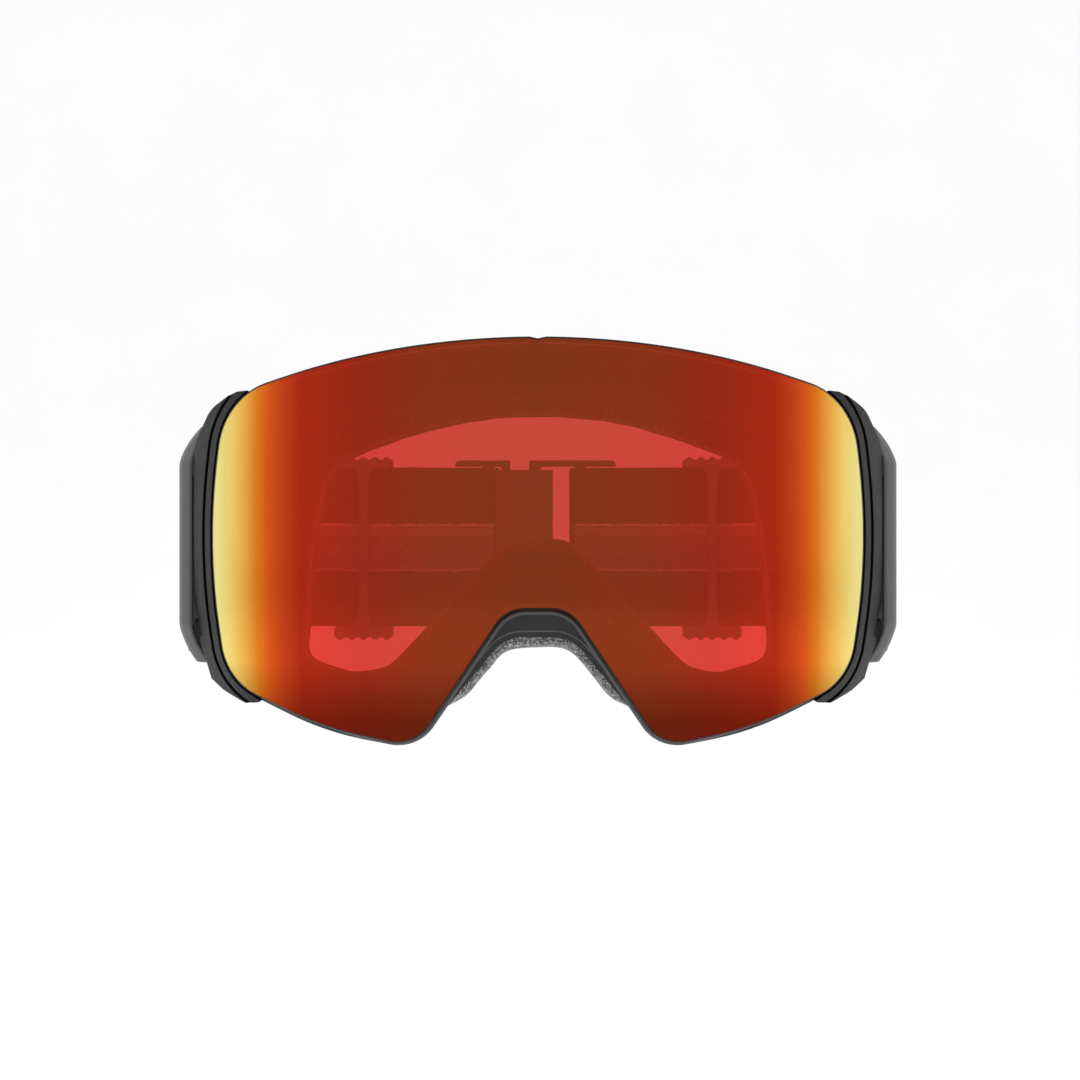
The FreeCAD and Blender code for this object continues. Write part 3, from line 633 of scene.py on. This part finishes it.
def bead(name, flat, depth_of, radius, material, closed=True):
    """Rounded moulded line along an outline."""
    curve = bpy.data.curves.new(name, "CURVE")
    curve.dimensions = "3D"
    curve.bevel_depth = radius * MM
    curve.bevel_resolution = 3
    curve.use_fill_caps = True
    spline = curve.splines.new("POLY")
    spline.points.add(len(flat) - 1)
    for point, place in zip(spline.points, flat):
        point.co = (place.x * MM, depth_of(place) * MM, place.y * MM, 1)
    spline.use_cyclic_u = closed
    thing = bpy.data.objects.new(name, curve)
    bpy.context.scene.collection.objects.link(thing)
    mesh = bpy.data.meshes.new_from_object(thing)
    bpy.data.objects.remove(thing)
    mesh.polygons.foreach_set("use_smooth", [True] * len(mesh.polygons))
    mesh.materials.clear()
    mesh.materials.append(material)
    thing = new_object(name, mesh)
    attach(thing, "goggle_frame")


# Foam strips beside the nose: distance from the middle, and their lower and upper ends.
NOSE_STRIPS = [(6.9, -12.0, -6.4), (17.4, -22.5, -16.8)]
STRIP_HALF = 1.0


def make_frame_lines():
    """Rolled lip of the flange, two lines round the nose arch and the foam strips beside them; the lip
    and lines are a lighter plastic that paints their highlights.
    """
    tree = BVHTree.FromObject(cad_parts["frame"], bpy.context.evaluated_depsgraph_get())

    def front_of(place):
        hit = tree.ray_cast(Vector((place.x * MM, -0.2, place.y * MM)), Vector((0, 1, 0)))[0]
        return hit.y / MM if hit else lens_depth(place.x, place.y) + 6

    lip = inset(outline(FLANGE_EDGE), 0.75)
    bead("flange_lip", lip, front_of, 0.72, LIP_PAINTED_HIGHLIGHT)
    arch = [p for p in inset(outline(FRAME_EDGE), 1.5) if abs(p.x) < 21 and p.y < 0]
    bead("nose_step_line", arch, front_of, 0.3, LIP_PAINTED_HIGHLIGHT, closed=False)
    bond = [p for p in inset(outline(LENS_EDGE), 4.6) if abs(p.x) < 26 and p.y < 0]
    bead("nose_bond_line", bond, front_of, 0.28, LIP_PAINTED_HIGHLIGHT, closed=False)
    strips = []
    for side in SIDES.values():
        for x, low, high in NOSE_STRIPS:
            front = front_of(Vector((side * x, (low + high) / 2)))
            turn = [k * math.pi / 8 for k in range(16)]
            flat = [(side * (x + STRIP_HALF * math.cos(a)) if abs(math.sin(a)) < 0.99 else side * x,
                     (high if math.sin(a) > 0 else low) + STRIP_HALF * math.sin(a)) for a in turn]
            strips.append(prism(flat, "xz", front - 0.7, front + 0.8))
    pads = joined("nose_foam_strips", strips)
    modified(pads, "REMESH", "cells", mode="VOXEL", voxel_size=0.35 * MM)
    applied(pads)
    for vertex in pads.data.vertices:
        vertex.co += vertex.normal * noise.noise(vertex.co / MM * 1.6) * 0.3 * MM
    pads.data.materials.append(FOAM)
    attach(pads, "goggle_frame")


# ---------------------------------------------------------------- strap
STRAP_LOW, STRAP_HIGH = low_of("strap_left").z / MM, high_of("strap_left").z / MM
STRAP_BACK = 137.2
STRAP_SIDE = 88.0
CLIP_FOLD = 2.75
BAR_LOOP = 2.55
BAR_X, BAR_Y = 89.6, 31.0
CLIP_BARS = {"left": 12.95, "right": 15.0}
SLIDER_X = 52.7
SLIDER_REACH = 8.8
WEB_THICK, TAIL_THICK, GRIP_THICK = 1.35, 1.15, 0.44
RETURN_FOLD = (high_of("strap_return_left").x / MM - 0.7 - SLIDER_X - SLIDER_REACH - 0.1) / 2


def plan_line(path, run=3.0):
    """Plan view line through corners (x, y, radius), as evenly spread points."""
    flat = [Vector((x, y)) for x, y, radius in path]
    points = [flat[0]]
    for i in range(1, len(flat) - 1):
        radius = path[i][2]
        points += corner_arc(flat[i - 1], flat[i], flat[i + 1], radius, 9 if radius < 10 else 17)
    points.append(flat[-1])
    spread = [points[0]]
    for point in points[1:]:
        gap = point - spread[-1]
        if gap.length < 0.02:
            continue
        pieces = max(1, int(gap.length / run))
        start = spread[-1]
        spread += [start + gap * (k / pieces) for k in range(1, pieces + 1)]
    return spread


def strip(name, line, low, high, thick, side, shape=None, columns=41):
    """Band along a plan line. shape(distance, share, face) gives extra thickness and a z shift."""
    points, faces = [], []
    distance = 0.0
    for i, here in enumerate(line):
        before, after = line[max(i - 1, 0)], line[min(i + 1, len(line) - 1)]
        along = (after - before).normalized()
        across = Vector((-along.y, along.x))
        distance += (here - before).length if i else 0
        for face in (1, -1):
            for k in range(columns):
                share = (k if face > 0 else columns - 1 - k) / (columns - 1)
                z = low + (high - low) * share
                edge = min(share, 1 - share) * (high - low)
                half = thick / 2 * math.sqrt(min(1, 0.25 + edge / 0.5 * 0.75))
                if shape:
                    extra, shift = shape(distance, share, face)
                    half += extra
                    z += shift
                spot = here + across * half * face
                points.append(Vector((side * spot.x, spot.y, z)) * MM)
    count = 2 * columns
    for i in range(len(line) - 1):
        for k in range(count):
            n = (k + 1) % count
            faces.append((i * count + k, i * count + n, (i + 1) * count + n, (i + 1) * count + k))
    for base in (0, (len(line) - 1) * count):
        for k in range(columns - 1):
            faces.append((base + k, base + k + 1, base + count - 2 - k, base + count - 1 - k))
    return mesh_from(name, points, faces)


def woven(distance, share, face):
    """Selvedges, lengthwise ribs and the slight unevenness of elastic webbing."""
    selvedge = 0.16 * math.exp(-((min(share, 1 - share) - 0.035) / 0.02) ** 2)
    rib = 0.05 * math.cos(share * 40 * math.pi)
    uneven = 0.05 * noise.noise(Vector((distance * 0.15, share * 4, 3.1)))
    return selvedge + rib + uneven, 0.12 * noise.noise(Vector((distance * 0.05, 0.5, share)))


def printed(distance, share, face):
    """Ragged edges and raised ridges of the silicone print."""
    ragged = 0.42 * noise.noise(Vector((distance * 0.8, 0.3, 1.7)))
    ragged += 0.5 * noise.noise(Vector((distance * 2.3, 2.3, 0.7)))
    pull = abs(share - 0.5) * 2
    ridge = 0.0
    for place, width, height in ((0.965, 0.03, 0.28), (0.84, 0.04, 0.16), (0.05, 0.05, 0.22),
                                 (0.45, 0.05, 0.08), (0.62, 0.03, 0.08)):
        ridge += height * math.exp(-((share - place) / width) ** 2)
    ridge *= 0.75 + 0.5 * noise.noise(Vector((distance * 0.6, share * 5, 9.2)))
    return (ridge if face > 0 else 0.0), ragged * pull ** 4


def strap_line(clip_bar):
    """Plan of a strap half: hem, loop round the outrigger bar, run to the back, clip fold."""
    inner, outer = BAR_X - BAR_LOOP, BAR_X + BAR_LOOP
    tip, hem = BAR_Y - BAR_LOOP, STRAP_SIDE + 1.7
    near_loop, near_fold = BAR_LOOP * 0.999, CLIP_FOLD * 0.999
    return plan_line([
        (hem, 54, 0), (hem, 42, 6), (outer, 36, 6), (outer, tip, near_loop),
        (inner, tip, near_loop), (inner, 36, 8), (STRAP_SIDE, 44, 8),
        (STRAP_SIDE, STRAP_BACK, 26), (clip_bar - CLIP_FOLD, STRAP_BACK, near_fold),
        (clip_bar - CLIP_FOLD, STRAP_BACK + 2 * CLIP_FOLD, near_fold),
        (clip_bar + 3, STRAP_BACK + 2 * CLIP_FOLD, 0)])


def return_line(clip_bar):
    """Plan of the folded-back end, from the clip bar out round the slider and back."""
    outer = STRAP_BACK + 2 * CLIP_FOLD
    fold = RETURN_FOLD
    turn = SLIDER_X + SLIDER_REACH + fold + 0.1
    return plan_line([
        (clip_bar + 3.05, outer, 0), (turn, outer, fold * 0.999),
        (turn, outer - 2 * fold, fold * 0.999), (42, outer - 2 * fold, 6),
        (36, outer - 1.5, 6), (27, outer - 1.5, 0)], 1.5)


def stitch_row(name, places, body, tilt):
    """A row of thread stitches, each a short rounded bar. Places are (x, y, z) in mm."""
    solids = []
    for x, y, z in places:
        points, faces = [], []
        rings, sides = 7, 8
        for r in range(rings):
            along = -1 + 2 * r / (rings - 1)
            girth = 0.28 * math.sqrt(max(0.02, 1 - along ** 2))
            for a in range(sides):
                angle = 2 * math.pi * a / sides
                lift, out = girth * math.sin(angle), girth * math.cos(angle)
                along_z = along * 0.95
                if tilt == "x":
                    points.append(Vector((x + out, y + lift, z + along_z)) * MM)
                else:
                    points.append(Vector((x + lift, y + out, z + along_z)) * MM)
        for r in range(rings - 1):
            for a in range(sides):
                b = (a + 1) % sides
                faces.append((r * sides + a, r * sides + b, (r + 1) * sides + b, (r + 1) * sides + a))
        faces += [tuple(range(sides)), tuple(range((rings - 1) * sides, rings * sides))]
        solids.append((points, faces))
    thing = joined(name, solids)
    thing.data.materials.append(THREAD)
    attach(thing, body)


def make_straps():
    """Both strap halves: webbing, folded-back end, silicone grip and hem stitching."""
    for name, side in SIDES.items():
        bar = CLIP_BARS[name]
        body = f"strap_{name}"
        band = strip(f"strap_{name}_web", strap_line(bar), STRAP_LOW, STRAP_HIGH, WEB_THICK, side, woven)
        tail = strip(f"strap_{name}_tail", return_line(bar), STRAP_LOW, STRAP_HIGH, TAIL_THICK, side,
                     woven)
        offset = (1.6 + 0.5) / 2 + 0.02
        turn = 26 - offset
        grip_line = plan_line([(STRAP_SIDE - offset, 70, 0),
                               (STRAP_SIDE - offset, STRAP_BACK - offset, turn),
                               (bar - 2, STRAP_BACK - offset, 0)], 0.7)
        low, high = low_of(f"strap_grip_{name}").z / MM, high_of(f"strap_grip_{name}").z / MM
        grip = strip(f"strap_{name}_grip", grip_line, low, high, GRIP_THICK, side, printed, 37)
        for thing, material, node, slot in ((band, WEB, f"strap_{name}", "webbing"),
                                            (tail, WEB, f"strap_return_{name}", "webbing"),
                                            (grip, GRIP, f"strap_grip_{name}", "silicone")):
            thing.data.materials.append(material)
            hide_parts(node)
        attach(band, body)
        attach(grip, body)
        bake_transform(tail)
        rows = [STRAP_LOW + 2.4 + 2.7 * k for k in range(17)]
        hem = side * (STRAP_SIDE + 1.7 + 0.62)
        stitch_row(f"hem_stitches_{name}", [(hem, y, z) for y in (44.5, 50.5) for z in rows],
                   body, "y")


# ---------------------------------------------------------------- sliders and clip
SLOT_LOW, SLOT_HIGH = -26.6, 22.4


def wavy(low, high, rows, width, bumps):
    """Top edge of a slider plate as points from left to right, with finger bumps."""
    return [(-width + 2 * width * k / rows,
             high - (high - low) * (0.5 + 0.5 * math.cos(2 * math.pi * bumps * k / rows)))
            for k in range(rows + 1)]


def make_sliders():
    """Adjusters: two bumpy end plates, a flared bar in front and two rails behind."""
    for name, side in SIDES.items():
        low, high = low_of(f"slider_{name}"), high_of(f"slider_{name}")
        front, back = low.y / MM, high.y / MM
        top, bottom = high.z / MM, low.z / MM
        half = (high.x - low.x) / 2 / MM
        upper = wavy(top - 1.1, top, 60, half, 5)
        lower = wavy(bottom + 1.1, bottom, 60, half, 5)
        plates = [upper + [(half, SLOT_HIGH), (-half, SLOT_HIGH)],
                  lower + [(half, SLOT_LOW), (-half, SLOT_LOW)]]
        flare = []
        for k in range(33):
            z = SLOT_LOW - 0.5 + (SLOT_HIGH - SLOT_LOW + 1.0) * k / 32
            gap = min(z - SLOT_LOW, SLOT_HIGH - z) + 0.5
            flare.append((1.3 + 3.6 * math.exp(-gap / 1.7), z))
        bar = flare + [(-x, z) for x, z in reversed(flare)]
        solids = [prism([(SLIDER_X + x, z) for x, z in plate], "xz", front, back) for plate in plates]
        solids.append(prism([(SLIDER_X + x, z) for x, z in bar], "xz", front, front + 1.9))
        for edges in ((SLOT_LOW - 0.6, SLOT_LOW + 0.9), (SLOT_HIGH - 0.9, SLOT_HIGH + 0.6)):
            solids.append(block((SLIDER_X - half + 0.8, SLIDER_X + half - 0.8), (front, front + 1.7),
                                edges))
        for left, right in ((-half, -half + 3), (half - 3, half)):
            solids.append(block((SLIDER_X + left, SLIDER_X + right), (back - 2, back),
                                (SLOT_LOW - 0.5, SLOT_HIGH + 0.5)))
        slider = moulded(f"slider_{name}_moulded", solids, side)
        slider.data.materials.append(SLIDER)
        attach(slider, f"slider_{name}")
        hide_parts(f"slider_{name}")


CLIP_HALF = 1.25
CLIP_TOP, CLIP_LOW = 24.2, -28.3
CLIP_IN_TOP, CLIP_IN_LOW = CLIP_TOP - 1.95, CLIP_LOW + 1.85
CORNER = 1.6
CLIP_ROD = 1.5
TONGUE_LOW, TONGUE_TOP = -25.4, 21.2
HOOK_END, HOOK_FRONT, HOOK_BACK = -25.2, -8.4, -11
LOOP_START, LOOP_BAR, LOOP_END = -2.7, 0.8, 23.7
TONGUE_RIBS = (-1.5, 0.6, 2.7)


def make_clip():
    """Two-part rear clip: hooked tongue and catch loop, with rounded tabs."""
    plane = STRAP_BACK + CLIP_FOLD
    near, far = plane - CLIP_HALF, plane + CLIP_HALF
    turn = (0, 0.4, 0.8, 1.2, math.pi / 2)

    def arms(tab, before, after):
        """Upper and lower arm from a rounded corner and the points on either side of it."""
        foot = [(x, CLIP_TOP + CLIP_LOW - z) for x, z in tab]
        upper = [(before, CLIP_IN_TOP)] + tab + [(after, CLIP_TOP), (after, CLIP_IN_TOP)]
        lower = [(before, CLIP_IN_LOW)] + foot + [(after, CLIP_LOW), (after, CLIP_IN_LOW)]
        return [prism(upper, "xz", near, far), prism(lower, "xz", near, far)]

    tab = [(HOOK_END + CORNER * (1 - math.cos(a)), CLIP_TOP - CORNER * (1 - math.sin(a)))
           for a in turn]
    tongue = [(HOOK_BACK, near), (HOOK_FRONT, near), (-6.4, near - 3.1), (4.5, near - 3.1),
              (4.5, plane - 0.1), (2.0, plane - 0.1), (1.9, near - 1), (-5.2, near - 1), (-7.4, far),
              (HOOK_BACK, far)]
    hook = arms(tab, HOOK_END, HOOK_FRONT)
    hook += [block((HOOK_BACK, HOOK_FRONT), (near, far), (CLIP_LOW, CLIP_TOP)),
             prism(tongue, "xy", TONGUE_LOW, TONGUE_TOP),
             rod(-CLIP_BARS["right"], plane, CLIP_ROD, CLIP_LOW, CLIP_TOP),
             block((-12.7, -6.2), (near - 3.75, near - 2.95), (TONGUE_LOW, TONGUE_TOP))]
    for x in TONGUE_RIBS:
        hook.append(block((x, x + 0.9), (near - 3.5, near - 2.9), (TONGUE_LOW + 2, TONGUE_TOP - 2)))
    end = [(LOOP_END - CORNER * (1 - math.cos(a)), CLIP_TOP - CORNER * (1 - math.sin(a)))
           for a in turn]
    loop = arms(end, LOOP_END, LOOP_START)
    loop += [block((LOOP_START, LOOP_BAR), (near, far), (CLIP_LOW, CLIP_TOP)),
             rod(CLIP_BARS["left"], plane, CLIP_ROD, CLIP_LOW, CLIP_TOP)]
    for name, solids in (("clip_hook", hook), ("clip_loop", loop)):
        thing = moulded(name + "_moulded", solids, voxel=0.32, smoothing=4)
        thing.data.materials.append(CLIP)
        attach(thing, name)
        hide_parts(name)


# ---------------------------------------------------------------- outriggers
PIN_X, PIN_Y = 85.0, 10.5
PIN_RANGE = (-20.4, 16.2)
EAR_RANGES = [(-29.1, -26.7), (22.5, 24.9)]
BEND_TOP, BEND_LOW = 19.5, -21.5
WING_MIDDLE = 17.5
WING_ROWS = 60


def make_outriggers():
    """Swinging side arms: a curved wing whose ends bend in behind the bracket."""
    top, low = high_of("outrigger_left").z / MM + 4.6, low_of("outrigger_left").z / MM - 2.6
    outer = high_of("outrigger_left").x / MM
    for name, side in SIDES.items():
        points, faces = [], []
        for r in range(WING_ROWS + 1):
            z = low + (top - low) * r / WING_ROWS
            over = max(0.0, (z - BEND_TOP) / (top - BEND_TOP))
            over += max(0.0, (BEND_LOW - z) / (BEND_LOW - low))
            bend = (5.6 if z > 0 else 4.4) * over ** 1.7
            front = 8.6 + 1.8 * min(1.0, over * 3)
            ridge = outer - bend
            squeeze = 1 - 0.42 * max(0.0, (over - 0.35) / 0.65) ** 2
            section = [(ridge - 4.3, front), (ridge - 3.4, front + 0.3), (ridge - 1.2, front + 3.8),
                       (ridge, front + 7.2), (ridge, 24.6), (ridge - 0.5, 26.3), (ridge - 1.2, 27.2),
                       (ridge - 3.2, 27.2), (ridge - 2.9, 25.5), (ridge - 2.7, 17.2),
                       (ridge - 4.3, front + 1.8)]
            points += [Vector((x, WING_MIDDLE + (y - WING_MIDDLE) * squeeze, z)) * MM
                       for x, y in section]
        count = len(section)
        for r in range(WING_ROWS):
            for k in range(count):
                n = (k + 1) % count
                faces.append((r * count + k, r * count + n, (r + 1) * count + n, (r + 1) * count + k))
        faces += [tuple(range(count)), tuple(range(WING_ROWS * count, (WING_ROWS + 1) * count))]
        solids = [(points, faces), rod(BAR_X, BAR_Y, 1.5, EAR_RANGES[0][0], EAR_RANGES[1][1])]
        for bottom, peak in EAR_RANGES:
            plan = [(88.0, 24.0), (outer - 1.2, 24.0), (outer - 1.5, BAR_Y), (outer - 2.2, BAR_Y + 1.5),
                    (88.8, BAR_Y + 1.5), (88.0, BAR_Y)]
            solids.append(prism(plan, "xy", bottom, peak))
        solids.append(rod(PIN_X, PIN_Y, 3.0, *PIN_RANGE))
        solids.append(block((PIN_X, 90.9), (10.7, 13.5), PIN_RANGE))
        arm = moulded(f"outrigger_{name}_moulded", solids, side, 0.42, 6, 0.4)
        arm.data.materials.append(OUTRIGGER_PAINTED_LIGHT)
        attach(arm, f"outrigger_{name}")
        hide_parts(f"outrigger_{name}")


BLACK = plastic("black_plastic", (0.012, 0.0115, 0.012), 0.42)
# Darker, less shiny copy of the black plastic: painted shade on the side brackets.
BRACKET_PAINTED_SHADE = plastic("bracket_plastic_painted_shade", (0.008, 0.0075, 0.008), 0.46, level=0.16)
# Lighter copy of the black plastic: painted highlight on the flange lip and the lines round the nose.
LIP_PAINTED_HIGHLIGHT = plastic("lip_plastic_painted_highlight", (0.060, 0.056, 0.057), 0.34, level=0.5)
DARK = plastic("gasket_rubber", (0.070, 0.068, 0.068), 0.6, level=0.2)
# Lighter than the black plastic: painted light for the side light the outrigger faces catch.
OUTRIGGER_PAINTED_LIGHT = plastic("outrigger_plastic", (0.070, 0.068, 0.069), 0.44)
SLIDER = plastic("slider_plastic", (0.16, 0.15, 0.15), 0.4)
CLIP = plastic("clip_plastic", (0.085, 0.082, 0.082), 0.4)
RESIN = plastic("lens_rim_resin", (0.016, 0.006, 0.004), 0.4, 0.05, 0.12)
OVERMOULD = plastic("magnet_overmould", (0.010, 0.010, 0.010), 0.5, level=0.15)
STEEL = steel("pin_steel")
FOAM = foam("grey_foam", (0.03, 0.03, 0.03), (0.72, 0.70, 0.70), 2600.0)
FOAM_MID = foam("dark_foam", (0.008, 0.008, 0.008), (0.24, 0.24, 0.24), 3000.0)
FLEECE = foam("black_fleece", (0.01, 0.01, 0.01), (0.06, 0.06, 0.06), 2500)
WEB = webbing("strap_webbing", (0.006, 0.006, 0.006), (0.030, 0.029, 0.030))
THREAD = webbing("stitch_thread", (0.03, 0.03, 0.03), (0.12, 0.12, 0.12))
GRIP = silicone("silicone_grip")

make_lens()
make_foams()
make_frame_lines()
make_straps()
make_sliders()
make_clip()
make_outriggers()
dress("inner_lens", clear_plastic("clear_pane", (0.97, 0.95, 0.94), 0.06))
for node_name in ("frame", "foam_carrier", "lens_lug_left", "lens_lug_right"):
    dress(node_name, BLACK)
for side_name in SIDES:
    dress(f"side_bracket_{side_name}", BRACKET_PAINTED_SHADE)
    dress(f"outrigger_pin_{side_name}", STEEL)
dress("lens_gasket", DARK)
for node_name in ("lens_keepers", "frame_magnets"):
    dress(node_name, OVERMOULD)
for node_name in ("vent_foam_top", "vent_foam_bottom"):
    dress(node_name, FOAM)


# ---------------------------------------------------------------- studio
def make_studio():
    """Pale sweep, white surroundings and soft lamps."""
    world = bpy.data.worlds.new("studio_white")
    bpy.context.scene.world = world
    world.use_nodes = True
    background = world.node_tree.nodes["Background"]
    background.inputs["Color"].default_value = (1, 1, 1, 1)
    background.inputs["Strength"].default_value = 1.0
    size, drop, rise = 6.0, -0.35, 5.0
    profile = [(-size, drop), (1.6, drop)]
    radius = 1.4
    for step in range(1, 13):
        angle = math.pi / 2 * step / 12
        profile.append((1.6 + radius * math.sin(angle), drop + radius * (1 - math.cos(angle))))
    profile.append((1.6 + radius, rise))
    points = [Vector((x, y, z)) for y, z in profile for x in (-size, size)]
    faces = [(2 * i, 2 * i + 1, 2 * i + 3, 2 * i + 2) for i in range(len(profile) - 1)]
    floor = mesh_from("floor", points, faces)
    tree = Tree("pale_floor")
    grain = tree.noise(8, 2)
    base = tree.ramp(grain, [(0.0, (0.93, 0.93, 0.93)), (1.0, (0.96, 0.96, 0.96))])
    shader = tree.add("BsdfPrincipled", {"Base Color": base, "Roughness": 0.9})
    floor.data.materials.append(tree.finish(shader))
    lamps = [("key_lamp", (-0.9, -1.0, 1.3), 1.0, 5), ("fill_lamp", (1.1, -0.9, 0.7), 1.0, 3),
             ("back_lamp", (0.0, 1.2, 1.4), 1.4, 5)]
    for name, place, width, power in lamps:
        lamp = bpy.data.lights.new(name, "AREA")
        lamp.shape = "SQUARE"
        lamp.size = width
        lamp.energy = power
        thing = bpy.data.objects.new(name, lamp)
        thing.location = place
        thing.visible_glossy = False
        thing.rotation_euler = Vector(place).to_track_quat("Z", "Y").to_euler()
        bpy.context.scene.collection.objects.link(thing)


CAMERA_AWAY = 0.65
CAMERA_FOCAL = 92.4
CAMERA_SHIFT = 0.0019


def make_camera():
    """Level camera straight in front of the lens, 650 mm from it."""
    camera = bpy.data.cameras.new("camera")
    camera.sensor_width = 36
    camera.lens = CAMERA_FOCAL
    camera.shift_x = CAMERA_SHIFT
    thing = bpy.data.objects.new("camera", camera)
    thing.location = (0, LENS_FRONT * MM - CAMERA_AWAY, 0)
    thing.rotation_euler = (math.pi / 2, 0, 0)
    bpy.context.scene.collection.objects.link(thing)
    bpy.context.scene.camera = thing


make_studio()
make_camera()
bpy.context.scene.view_settings.view_transform = "Standard"
